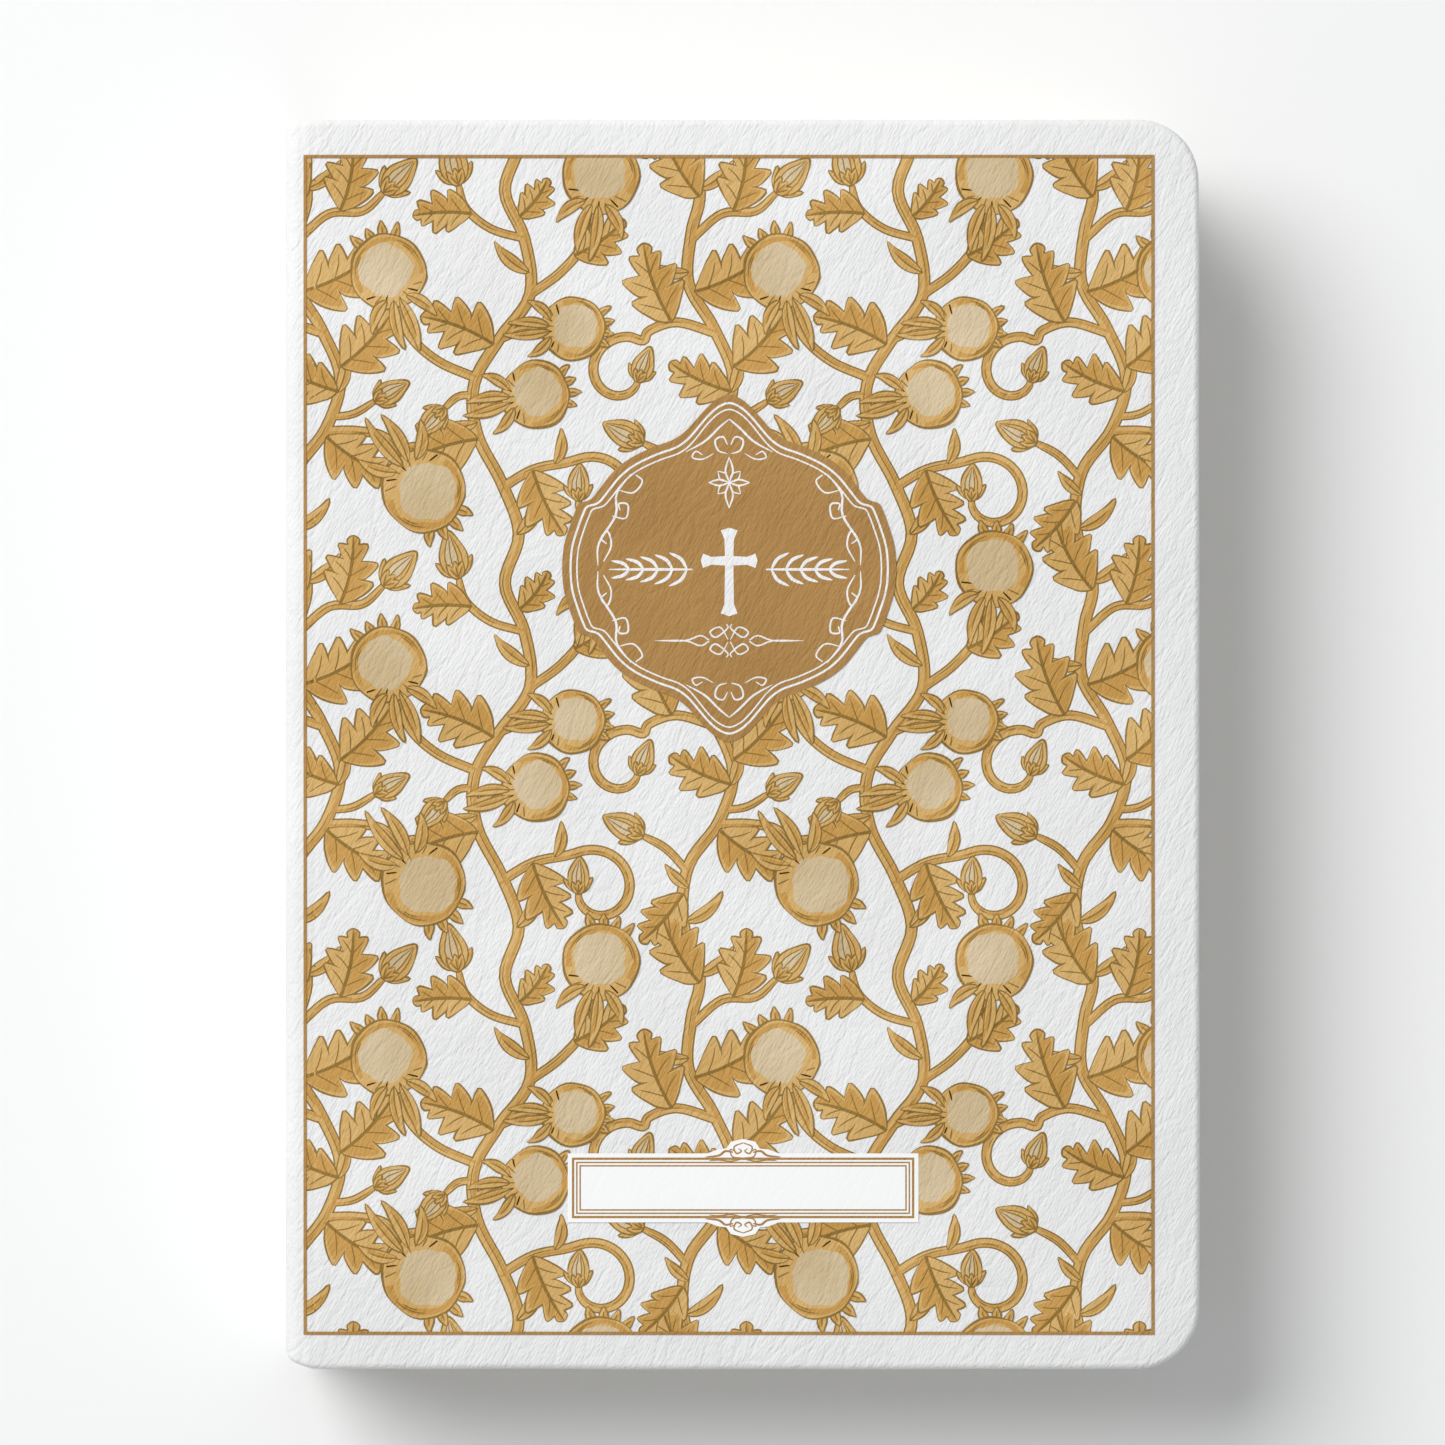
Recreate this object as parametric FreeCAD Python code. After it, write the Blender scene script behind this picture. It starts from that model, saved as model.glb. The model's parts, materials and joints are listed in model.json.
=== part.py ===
"""A section-sewn Bible in a leather-like soft case, lying closed on its back cover.

Millimetres. +X runs from the spine to the fore edge, +Y from the tail to the head and
+Z from the back cover to the front cover. The origin is the centre of the book's
footprint, on the surface that it lies on. Each piece is written to its own STEP file.
"""
import FreeCAD
import Part
import os

# ---- driving dimensions ----
COVER_WIDTH = 165.0          # spine to fore edge
COVER_HEIGHT = 224.0         # tail to head
BOOK_THICKNESS = 40.0
CORNER_RADIUS = 11.0         # fore-edge corners of the covers
SKIN = 0.8                   # leather-like cover material
TURN_IN = 0.25               # cover material skived thin where it folds inside
TURN_IN_WIDTH = 14.0
BOARD = 1.3                  # flexible board in each cover
PASTEDOWN = 0.15             # endpaper glued inside each cover
EDGE_ROUND = 0.75            # soft outer edge of the covers
SQUARE = 3.5                 # how far the covers overhang the leaves
LEAF_CORNER_RADIUS = 8.0
SHOULDER_RADIUS = 3.0        # where the spine turns into each cover
SPINE_BULGE = 0.5            # how far the middle of the spine stands out
HINGE_INSET = 3.5            # hinge axis, in from the cover's face and the spine's back
PLATE_GAP = 4.0              # hinge axis to the stiff part of a cover
FOLD_DEPTH = 8.0             # hinge axis to where the leaves start to turn
SECTIONS_PER_GROUP = 4
GROUPS = 12
SHEET_GAP = 0.02             # air between neighbouring paper pieces
BODY_GAP = 0.05              # air between pieces that move apart
FLYLEAF = 0.15

# ---- sizes worked out from them ----
X_SPINE = -COVER_WIDTH / 2
X_FORE = COVER_WIDTH / 2
Y_HEAD = COVER_HEIGHT / 2
MID_Z = BOOK_THICKNESS / 2
COVER = SKIN + BOARD + TURN_IN + PASTEDOWN
X_HINGE = X_SPINE + HINGE_INSET
X_PLATE = X_HINGE + PLATE_GAP
X_TURN = X_HINGE + FOLD_DEPTH
LEAF_HALF = Y_HEAD - SQUARE
FLYLEAF_Z = COVER + BODY_GAP
BLOCK_Z = FLYLEAF_Z + FLYLEAF + BODY_GAP
GROUP_SPAN = (BOOK_THICKNESS - 2 * BLOCK_Z) / GROUPS
SHOULDER_SPAN = MID_Z - SHOULDER_RADIUS

# the spine's layers, each given by where its back lies at mid thickness
INLAY = 0.9
LINING = 0.25
MULL = 0.25
THREAD = 0.2
X_INLAY = X_SPINE + SKIN
X_LIP = X_INLAY + INLAY
LIP = 0.45
X_LINING = X_LIP + LIP + 0.1
X_MULL = X_LINING + LINING
X_THREAD = X_MULL + MULL
X_FOLD = X_THREAD + THREAD

os.makedirs("parts", exist_ok=True)


def write(name, *solids):
    """One STEP file per piece; a group of like pieces is a compound of separate solids."""
    shape = solids[0] if len(solids) == 1 else Part.makeCompound(list(solids))
    shape.exportStep(f"parts/{name}.step")


def bulge(z):
    """How far the spine's layers and the fore edge lie forward of their mid-thickness place."""
    return SPINE_BULGE * ((z - MID_Z) / SHOULDER_SPAN) ** 2


def flip(shape):
    """The same piece on the other side of mid thickness: back cover to front cover."""
    return shape.mirror(FreeCAD.Vector(0, 0, MID_Z), FreeCAD.Vector(0, 0, 1))


def slab(x0, x1, y_half, z0, z1, radius):
    """A flat sheet or board, with its two fore-edge corners rounded."""
    p = [FreeCAD.Vector(*c, z0) for c in (
        (x0, -y_half), (x1 - radius, -y_half), (x1, radius - y_half),
        (x1, y_half - radius), (x1 - radius, y_half), (x0, y_half))]
    cut = radius * (1 - 0.5 ** 0.5)
    low = FreeCAD.Vector(x1 - cut, cut - y_half, z0)
    high = FreeCAD.Vector(x1 - cut, y_half - cut, z0)
    face = outline([(p[0], p[1]), (p[1], low, p[2]), (p[2], p[3]),
                    (p[3], high, p[4]), (p[4], p[5]), (p[5], p[0])])
    return face.extrude(FreeCAD.Vector(0, 0, z1 - z0))


def box(x0, x1, y0, y1, z0, z1):
    return Part.makeBox(x1 - x0, y1 - y0, z1 - z0, FreeCAD.Vector(x0, y0, z0))


def outline(curves):
    """A face inside a closed run of lines and arcs, each given by two or three points."""
    edges = [(Part.Arc if len(c) == 3 else Part.LineSegment)(*c).toShape() for c in curves]
    return Part.Face(Part.Wire(edges))


def band(x_back, thickness, z_edge, y0, y1):
    """A layer that follows the spine's curve, from z_edge to the same distance below the top."""
    low, mid, high = ((z_edge, bulge(z_edge)), (MID_Z, 0), (BOOK_THICKNESS - z_edge, bulge(z_edge)))
    back = [FreeCAD.Vector(x_back + b, y0, z) for z, b in (low, mid, high)]
    front = [p + FreeCAD.Vector(thickness, 0, 0) for p in reversed(back)]
    face = outline([back, (back[2], front[0]), front, (front[2], back[0])])
    return face.extrude(FreeCAD.Vector(0, y1 - y0, 0))


# ---- the two covers ----
def cover_skin():
    """The leather-like skin of the back cover: a tray round the board, turned in on three sides."""
    outer = slab(X_PLATE, X_FORE, Y_HEAD, 0, COVER - PASTEDOWN, CORNER_RADIUS)
    low_edges = [e for e in outer.Edges
                 if e.BoundBox.ZMax < 1e-6 and e.BoundBox.XMax > X_PLATE + 1]
    outer = outer.makeFillet(EDGE_ROUND, low_edges)
    inner = slab(X_PLATE - 1, X_FORE - SKIN, Y_HEAD - SKIN, SKIN, SKIN + BOARD, CORNER_RADIUS - SKIN)
    window = slab(X_PLATE - 1, X_FORE - TURN_IN_WIDTH, Y_HEAD - TURN_IN_WIDTH,
                  SKIN, COVER, 1.0)
    return outer.cut(inner).cut(window)


def cover_board():
    """The board inside the skin, thinner round its rim where the turned-in skin lies."""
    rim = slab(X_PLATE, X_FORE - SKIN, Y_HEAD - SKIN, SKIN, SKIN + BOARD, CORNER_RADIUS - SKIN)
    middle = slab(X_PLATE, X_FORE - TURN_IN_WIDTH, Y_HEAD - TURN_IN_WIDTH,
                  SKIN, COVER - PASTEDOWN, 1.0)
    return rim.fuse(middle).removeSplitter()


def pastedown():
    """The half of the endpaper that is glued down over the board and the turn-ins."""
    margin = SQUARE - 0.5
    return slab(X_PLATE, X_FORE - margin, Y_HEAD - margin,
                COVER - PASTEDOWN, COVER, LEAF_CORNER_RADIUS)


def joint_skin():
    """The flexible strip of skin between the spine's shoulder and the stiff cover."""
    return box(X_HINGE, X_PLATE, -Y_HEAD, Y_HEAD, 0, SKIN)


for part_name, piece in (
        ("cover_skin", cover_skin()), ("cover_board", cover_board()),
        ("pastedown", pastedown()), ("joint_skin", joint_skin())):
    write(f"back_{part_name}", piece)
    write(f"front_{part_name}", flip(piece))


# ---- the case's spine ----
def shoulder_profile(offset):
    """The spine's outline, offset inwards: a shoulder, the bulging back and a shoulder."""
    radius = SHOULDER_RADIUS - offset
    low = SHOULDER_RADIUS
    high = BOOK_THICKNESS - SHOULDER_RADIUS
    x_low = X_HINGE - radius
    diagonal = radius * 0.5 ** 0.5
    corners = [(X_HINGE, offset), (X_HINGE - diagonal, low - diagonal), (x_low, low),
               (X_SPINE + offset, MID_Z), (x_low, high),
               (X_HINGE - diagonal, high + diagonal), (X_HINGE, BOOK_THICKNESS - offset)]
    return [FreeCAD.Vector(x, -Y_HEAD, z) for x, z in corners]


def spine_skin():
    """The spine's skin with its turned-in lips at the head and the tail."""
    out = shoulder_profile(0)
    inn = shoulder_profile(SKIN)[::-1]
    face = outline([out[0:3], out[2:5], out[4:7], (out[6], inn[0]),
                    inn[0:3], inn[2:5], inn[4:7], (inn[6], out[0])])
    shell = face.extrude(FreeCAD.Vector(0, COVER_HEIGHT, 0))
    wall = INLAY + LIP + 0.05
    lips = []
    for end in (-Y_HEAD, Y_HEAD - SKIN):
        lips.append(band(X_INLAY - 0.05, wall, INLAY_EDGE, end, end + SKIN))
    for end in (-Y_HEAD, Y_HEAD - TURN_IN_WIDTH):
        lips.append(band(X_LIP, LIP, INLAY_EDGE, end, end + TURN_IN_WIDTH))
    return shell.multiFuse(lips).removeSplitter()


INLAY_EDGE = SHOULDER_RADIUS + 1.0     # the card inlay stops short of the shoulders
write("spine_skin", spine_skin())
INLAY_HALF = Y_HEAD - SKIN
write("spine_inlay", band(X_INLAY, INLAY, INLAY_EDGE, -INLAY_HALF, INLAY_HALF))

# ---- the linings glued over the sewn folds ----
LINING_HALF = LEAF_HALF - 3.0
MULL_HALF = LEAF_HALF - 9.0
write("spine_lining", band(X_LINING, LINING, BLOCK_Z + 0.6, -LINING_HALF, LINING_HALF))
write("mull", band(X_MULL, MULL, BLOCK_Z + 0.2, -MULL_HALF, MULL_HALF))

# ---- sewing thread: one run across the folds at each station ----
STATIONS = (-98.0, -62.0, -21.0, 21.0, 62.0, 98.0)
THREAD_WIDTH = 0.5
write("sewing_thread", *[
    band(X_THREAD, THREAD, BLOCK_Z + 0.4, y - THREAD_WIDTH / 2, y + THREAD_WIDTH / 2)
    for y in STATIONS])

# ---- headband and tailband: a bead across the folds at each end ----
BEAD_RADIUS = 0.95
X_BEAD = X_FOLD + BEAD_RADIUS + 0.1
BEAD_HALF = MID_Z - BLOCK_Z - 0.5
for band_name, side in (("headband", 1), ("tailband", -1)):
    y_bead = side * (LEAF_HALF + BEAD_RADIUS + SHEET_GAP)
    bead = Part.makeCylinder(BEAD_RADIUS, 2 * BEAD_HALF,
                             FreeCAD.Vector(X_BEAD, y_bead, MID_Z - BEAD_HALF))
    write(band_name, bead)


# ---- the text block: folded sections, sewn through their folds ----
def fore_edge(z):
    return X_FORE - SQUARE - SPINE_BULGE + bulge(z)


def leaves(z0, z1):
    """The part of a section that turns."""
    return slab(X_TURN + 0.1, fore_edge((z0 + z1) / 2), LEAF_HALF, z0, z1, LEAF_CORNER_RADIUS)


def fold(z0, z1):
    """The rounded fold of a section, held by the sewing."""
    x_back = X_FOLD + bulge((z0 + z1) / 2)
    strip = box(x_back, X_TURN - 0.1, -LEAF_HALF, LEAF_HALF, z0, z1)
    back_edges = [e for e in strip.Edges
                  if e.BoundBox.XMax < x_back + 1e-6 and e.BoundBox.YLength > 1]
    return strip.makeFillet((z1 - z0) * 0.45, back_edges)


section_pitch = GROUP_SPAN / SECTIONS_PER_GROUP
folds = []
top = BOOK_THICKNESS - BLOCK_Z
for group in range(GROUPS):
    turning = []
    for section in range(SECTIONS_PER_GROUP):
        low_z = top - section_pitch + (BODY_GAP if section == SECTIONS_PER_GROUP - 1 else SHEET_GAP)
        turning.append(leaves(low_z, top))
        folds.append(fold(low_z, top))
        top -= section_pitch
    first = group * SECTIONS_PER_GROUP + 1
    write(f"sections_{first:02d}_{first + SECTIONS_PER_GROUP - 1:02d}", *turning)
write("section_folds", *folds)


# ---- endpapers: the free half of each, and the fold that joins it to the block ----
def flyleaf():
    return slab(X_TURN + 0.1, fore_edge(FLYLEAF_Z), LEAF_HALF, FLYLEAF_Z,
                FLYLEAF_Z + FLYLEAF, LEAF_CORNER_RADIUS)


def endpaper_fold():
    return box(X_HINGE + 0.5, X_TURN - 0.1, -LEAF_HALF, LEAF_HALF, FLYLEAF_Z, FLYLEAF_Z + FLYLEAF)


for part_name, piece in (("flyleaf", flyleaf()), ("endpaper_fold", endpaper_fold())):
    write(f"back_{part_name}", piece)
    write(f"front_{part_name}", flip(piece))
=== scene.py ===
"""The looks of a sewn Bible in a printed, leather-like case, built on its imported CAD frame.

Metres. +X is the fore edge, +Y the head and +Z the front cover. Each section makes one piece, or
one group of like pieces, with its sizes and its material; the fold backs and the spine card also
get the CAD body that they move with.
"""

import json
import math
import random

import bpy
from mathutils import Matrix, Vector, geometry, noise

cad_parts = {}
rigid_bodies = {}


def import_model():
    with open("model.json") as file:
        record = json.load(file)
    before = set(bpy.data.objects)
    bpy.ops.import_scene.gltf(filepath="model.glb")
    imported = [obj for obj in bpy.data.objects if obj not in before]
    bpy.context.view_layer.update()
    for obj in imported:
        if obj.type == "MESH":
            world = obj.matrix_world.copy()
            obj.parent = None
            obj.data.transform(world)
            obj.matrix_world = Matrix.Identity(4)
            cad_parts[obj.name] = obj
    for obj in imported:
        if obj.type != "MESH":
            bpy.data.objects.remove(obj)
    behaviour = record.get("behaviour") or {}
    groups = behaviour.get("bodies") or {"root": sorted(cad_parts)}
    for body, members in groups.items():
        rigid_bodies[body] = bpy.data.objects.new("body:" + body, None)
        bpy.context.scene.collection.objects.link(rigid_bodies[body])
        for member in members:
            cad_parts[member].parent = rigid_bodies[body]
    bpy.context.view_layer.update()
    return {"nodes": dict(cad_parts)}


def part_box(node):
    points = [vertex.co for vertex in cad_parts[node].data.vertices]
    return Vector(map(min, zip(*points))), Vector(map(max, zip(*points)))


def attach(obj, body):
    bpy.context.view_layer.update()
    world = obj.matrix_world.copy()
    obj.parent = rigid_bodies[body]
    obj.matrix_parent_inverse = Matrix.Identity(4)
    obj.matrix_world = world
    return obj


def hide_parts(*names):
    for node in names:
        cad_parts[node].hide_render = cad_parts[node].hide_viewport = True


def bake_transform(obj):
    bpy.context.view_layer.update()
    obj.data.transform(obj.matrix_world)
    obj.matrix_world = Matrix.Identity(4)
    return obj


for spare in list(bpy.data.objects):
    bpy.data.objects.remove(spare)
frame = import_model()

# ---- the leather case --------------------------------------------------------------------------
# One sheet of soft white imitation leather wraps both boards and the spine, and is made here as two
# halves that meet at the middle of the spine. It is thick and round-edged where it is turned in over
# a board, and bare and flexible at the joint. Its fine pebbled grain has short slanting strokes.
MM = 0.001
plate_low, plate_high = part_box("front_cover_skin")
spine_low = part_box("spine_skin")[0]
BOOK_TOP = plate_high.z
MID_Z = BOOK_TOP / 2
JOINT_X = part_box("front_joint_skin")[0].x
PLATE_X = plate_low.x
HALF_HEIGHT = plate_high.y
SKIN = 0.8 * MM
CORNER = 11 * MM
SHOULDER = 3 * MM


def activate(piece):
    """The only selected object, in object mode."""
    if bpy.context.object and bpy.context.object.mode != "OBJECT":
        bpy.ops.object.mode_set(mode="OBJECT")
    bpy.ops.object.select_all(action="DESELECT")
    piece.select_set(True)
    bpy.context.view_layer.objects.active = piece


def pick(piece, kind, test):
    """Edit mode, with only the faces, edges or points that pass the test selected."""
    activate(piece)
    bpy.ops.object.mode_set(mode="EDIT")
    bpy.ops.mesh.select_mode(type=kind)
    bpy.ops.mesh.select_all(action="DESELECT")
    bpy.ops.object.mode_set(mode="OBJECT")
    mesh = piece.data
    parts = {"VERT": mesh.vertices, "EDGE": mesh.edges, "FACE": mesh.polygons}[kind]
    for part in parts:
        part.select = test(part)
    bpy.ops.object.mode_set(mode="EDIT")


def block(name, low, high):
    """A box between two corners, with its place in its mesh."""
    low, high = Vector(low), Vector(high)
    bpy.ops.object.select_all(action="DESELECT")
    bpy.ops.mesh.primitive_cube_add(size=1, location=(low + high) / 2, scale=high - low)
    piece = bpy.context.object
    piece.name = piece.data.name = name
    bpy.ops.object.transform_apply(location=True, rotation=True, scale=True)
    return piece


def edge_ends(piece, edge):
    return [piece.data.vertices[i].co for i in edge.vertices]


def slice_across(piece, axis, places):
    """Cuts the whole piece by planes square to an axis, which gives it points there to bend by."""
    normal = [0, 0, 0]
    normal[axis] = 1
    for place in places:
        spot = [0, 0, 0]
        spot[axis] = place
        pick(piece, "FACE", lambda face: True)
        bpy.ops.mesh.bisect(plane_co=spot, plane_no=normal)
    activate(piece)


def steps(start, stop, pitch):
    """Evenly spaced places between two ends, without the ends."""
    count = max(1, round(abs(stop - start) / pitch))
    return [start + (stop - start) * i / count for i in range(1, count)]


def case_dip(x):
    """How far the outer face sinks beside the spine: a shallow groove, then a fall to the shoulder."""
    groove = 0.10 * MM * math.exp(-((x - JOINT_X - 2.2 * MM) / (0.6 * MM)) ** 2)
    return groove + 0.085 * MM * (max(0, JOINT_X + 1.9 * MM - max(x, JOINT_X)) / MM) ** 2


def build_case(name):
    """One cover, its joint and its half of the spine, for the front of the book."""
    case = block(name, plate_low, plate_high)
    pick(case, "EDGE", lambda e: all(v.x > 0 for v in edge_ends(case, e))
         and abs(edge_ends(case, e)[0].z - edge_ends(case, e)[1].z) > MM)
    bpy.ops.mesh.bevel(offset=CORNER, segments=14)
    slice_across(case, 0, steps(PLATE_X, plate_high.x - CORNER, 9 * MM))
    slice_across(case, 1, steps(CORNER - HALF_HEIGHT, HALF_HEIGHT - CORNER, 9 * MM))
    for level, width in ((plate_high.z, 1.15 * MM), (plate_low.z, 0.8 * MM)):
        def on_rim(e):
            a, b = edge_ends(case, e)
            flat = abs(a.z - level) < 1e-6 and abs(b.z - level) < 1e-6
            if not flat or (a.x < PLATE_X + 1e-6 and b.x < PLATE_X + 1e-6):
                return False
            middle = (a + b) / 2
            beside = plate_high.x - CORNER - 1e-6
            beyond = HALF_HEIGHT - CORNER - 1e-6
            out = Vector((max(0, middle.x - beside), max(0, abs(middle.y) - beyond)))
            return out.length > CORNER * 0.98
        pick(case, "EDGE", on_rim)
        bpy.ops.mesh.bevel(offset=width, segments=5)
    slice_across(case, 2, [plate_high.z - SKIN])
    pick(case, "FACE", lambda f: f.normal.x < -0.9 and f.center.z > plate_high.z - SKIN)
    for step in range(8):
        bpy.ops.mesh.extrude_region_move(
            TRANSFORM_OT_translate={"value": ((JOINT_X - PLATE_X) / 8, 0, 0)})
    bpy.ops.mesh.spin(steps=10, angle=math.pi / 2, axis=(0, 1, 0),
                      center=(JOINT_X, 0, BOOK_TOP - SHOULDER))
    fall = BOOK_TOP - SHOULDER - MID_Z
    bulge = JOINT_X - SHOULDER - spine_low.x
    for step in range(8):
        a, b = 1 - step / 8, 1 - (step + 1) / 8
        bpy.ops.mesh.extrude_region_move(
            TRANSFORM_OT_translate={"value": (-bulge * (a * a - b * b), 0, -fall / 8)})
    activate(case)
    for point in case.data.vertices:
        finish_case_point(point.co)
    bpy.ops.object.shade_smooth_by_angle(angle=math.radians(50))
    return case


def finish_case_point(co):
    """The small unevenness of a soft case: a dip at the joint, pulled-in spine ends, wavy edges."""
    towards_spine = min(1, max(0, (JOINT_X + 1.8 * MM - co.x) / (4.5 * MM)))
    pulled = (0.35 if co.y > 0 else 0.8) * MM * towards_spine ** 0.6
    pulled += (0.5 if co.y > 0 else 1.5) * MM * (1 - math.sqrt(1 - towards_spine ** 2)) * (co.x < JOINT_X)
    co.y -= math.copysign(pulled, co.y) * (abs(co.y) / HALF_HEIGHT) ** 8
    if co.z > BOOK_TOP - SKIN - 1e-6 and JOINT_X <= co.x < PLATE_X:
        co.z -= case_dip(co.x)
    elif co.z > BOOK_TOP - SHOULDER and co.x < JOINT_X:
        co.z -= case_dip(co.x) * (co.z - BOOK_TOP + SHOULDER) / SHOULDER
    edge = max(abs(co.y) / HALF_HEIGHT, co.x / plate_high.x) ** 12
    wander = noise.noise_vector(Vector((co.x, co.y, 0)) / (26 * MM))
    co.x -= 0.22 * MM * edge * (1 + wander.x) * (co.x > 0)
    co.y += (0.15 if co.y > 0 else -0.4) * MM * edge * (1 + 0.5 * wander.y)


def adder(tree):
    """A way to add a node to a tree, with its settings and the sockets that feed it."""
    def add(kind, links=(), **values):
        node = tree.nodes.new("ShaderNode" + kind)
        for key, value in values.items():
            if key in node.inputs:
                node.inputs[key].default_value = value
            else:
                setattr(node, key, value)
        for socket, source in links:
            tree.links.new(source, node.inputs[socket])
        return node
    return add


def node_tree(material):
    """The material's nodes, its shader and a way to add a node."""
    material.use_nodes = True
    tree = material.node_tree
    return tree, tree.nodes["Principled BSDF"], adder(tree)


def maths(add, operation, first, second=0.0):
    """A Math node's result, from sockets or plain numbers."""
    node = add("Math", operation=operation)
    for i, value in enumerate((first, second)):
        if hasattr(value, "default_value"):
            node.id_data.links.new(value, node.inputs[i])
        else:
            node.inputs[i].default_value = value
    return node.outputs[0]


def build_grain_group():
    """Pebbled grain with short slanting strokes and shallow creases, and a faint mottling."""
    group = bpy.data.node_groups.new("leather_grain", "ShaderNodeTree")
    group.interface.new_socket("Place", in_out="INPUT", socket_type="NodeSocketVector")
    for name in ("Height", "Mottle"):
        group.interface.new_socket(name, in_out="OUTPUT", socket_type="NodeSocketFloat")
    place = group.nodes.new("NodeGroupInput").outputs["Place"]
    end = group.nodes.new("NodeGroupOutput")
    add = adder(group)
    turned = add("Mapping", [("Vector", place)], vector_type="TEXTURE",
                 Rotation=(0, 0, math.radians(62)), Scale=(3.6, 1, 1))
    warp = add("TexNoise", [("Vector", place)], Scale=90, Detail=2)
    bent = add("MixRGB", [(1, turned.outputs["Vector"]), (2, warp.outputs["Color"])],
               blend_type="ADD", Fac=0.006)
    creases = add("TexVoronoi", [("Vector", bent.outputs["Color"])], feature="DISTANCE_TO_EDGE", Scale=260)
    crease_line = add("MapRange", [("Value", creases.outputs["Distance"])],
                      **{"From Max": 0.16, "To Min": 0.0, "To Max": 1.0})
    strokes = add("TexNoise", [("Vector", turned.outputs["Vector"])], Scale=2400, Detail=2, Roughness=0.55)
    pebble = add("TexVoronoi", [("Vector", place)], feature="SMOOTH_F1", Scale=1500, Smoothness=0.6)
    swell = add("TexNoise", [("Vector", place)], Scale=45, Detail=2)
    height = 0.0
    for socket, share in ((crease_line.outputs["Result"], 0.5), (strokes.outputs["Fac"], 1.5),
                          (pebble.outputs["Distance"], 0.35), (swell.outputs["Fac"], 1.6)):
        height = maths(add, "ADD", height, maths(add, "MULTIPLY", socket, share))
    group.links.new(height, end.inputs["Height"])
    group.links.new(swell.outputs["Fac"], end.inputs["Mottle"])
    return group


grain_group = build_grain_group()


def leather_like(name, low_tone, high_tone, roughness, depth=0.14 * MM):
    """A finish that shows the case's grain: the bare leather itself, or ink printed on it."""
    material = bpy.data.materials.new(name)
    tree, shader, add = node_tree(material)
    place = add("TexCoord")
    grain = add("Group", node_tree=grain_group)
    tree.links.new(place.outputs["Object"], grain.inputs["Place"])
    tone = add("ValToRGB", [("Fac", grain.outputs["Mottle"])])
    tone.color_ramp.elements[0].position, tone.color_ramp.elements[1].position = 0.35, 0.65
    tone.color_ramp.elements[0].color = (*low_tone, 1)
    tone.color_ramp.elements[1].color = (*high_tone, 1)
    tree.links.new(tone.outputs["Color"], shader.inputs["Base Color"])
    bump = add("Bump", [("Height", grain.outputs["Height"])], Strength=1.0, Distance=depth)
    tree.links.new(bump.outputs["Normal"], shader.inputs["Normal"])
    shader.inputs["Roughness"].default_value = roughness
    shader.inputs["Specular IOR Level"].default_value = 0.25
    return material


white_leather = leather_like("white_leather", (0.835, 0.835, 0.828), (0.875, 0.875, 0.868), 0.55)
front_case = build_case("cover_leather_front")
front_case.data.materials.append(white_leather)
back_case = front_case.copy()
back_case.data = front_case.data.copy()
back_case.name = back_case.data.name = "cover_leather_back"
bpy.context.scene.collection.objects.link(back_case)
for point in back_case.data.vertices:
    point.co.z = BOOK_TOP - point.co.z
back_case.data.flip_normals()
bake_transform(front_case)
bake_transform(back_case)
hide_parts("front_cover_skin", "front_joint_skin", "spine_skin")
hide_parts("back_cover_skin", "back_joint_skin")

# ---- the printed vine ----------------------------------------------------------------------------
# Ink printed flat on the front cover: a repeat of pomegranates, lobed leaves, buds and curling
# stems in ochre, cut off by a thin border. Each ink is a film of its own, in levels a few microns
# apart, and the dark line ink lies under each motif's fill and over it again as veins.
REPEAT = 70.6
FILM = 0.004 * MM
PRINT_LIFT = 0.02 * MM
films = {"line_ink": [], "fill_ink": [], "shade_ink": [], "glow_ink": []}
hand = random.Random(11)


def polar(length, degrees):
    return Vector((length * math.cos(math.radians(degrees)), length * math.sin(math.radians(degrees))))


def smooth(points, count, closed=False):
    """Points along a soft curve through a few given ones, in millimetres."""
    p = [Vector(q) for q in points]
    if closed:
        p = [p[-1]] + p + p[:2]
    else:
        p = [2 * p[0] - p[1]] + p + [2 * p[-1] - p[-2]]
    curve = []
    for a, b, c, d in zip(p, p[1:], p[2:], p[3:]):
        for i in range(count):
            t = i / count
            curve.append(0.5 * (2 * b + (c - a) * t + (2 * a - 5 * b + 4 * c - d) * t * t
                                + (3 * b - a - 3 * c + d) * t ** 3))
    return curve if closed else curve + [p[-2]]


def side_of(curve, i, closed=False):
    """The direction square to a curve at one of its points, to the left of its run."""
    last = len(curve) - 1
    before = curve[i - 1] if i or closed else curve[0]
    after = curve[(i + 1) % len(curve)] if i < last or closed else curve[last]
    run = (after - before).normalized()
    return Vector((-run.y, run.x))


def spread(outline, width, wobble=0.0):
    """A closed outline moved outwards, by a width that varies as a hand-drawn line does."""
    area = sum(a.x * b.y - b.x * a.y for a, b in zip(outline, outline[1:] + outline[:1]))
    out = -1 if area > 0 else 1
    phase = hand.uniform(0, 6.28)
    moved = []
    for i, point in enumerate(outline):
        vary = 1 + wobble * math.sin(phase + 0.31 * i) * math.cos(1.7 * phase + 0.13 * i)
        moved.append(point + out * side_of(outline, i, True) * width * vary)
    return moved


def encloses(loop, spot):
    """Whether an outline goes round a spot, however the outline crosses itself."""
    turns = 0
    for a, b in zip(loop, loop[1:] + loop[:1]):
        if (a.y <= spot.y) != (b.y <= spot.y):
            rising = b.y > a.y
            if ((b - a).cross(spot - a) > 0) == rising:
                turns += 1 if rising else -1
    return turns != 0


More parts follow.
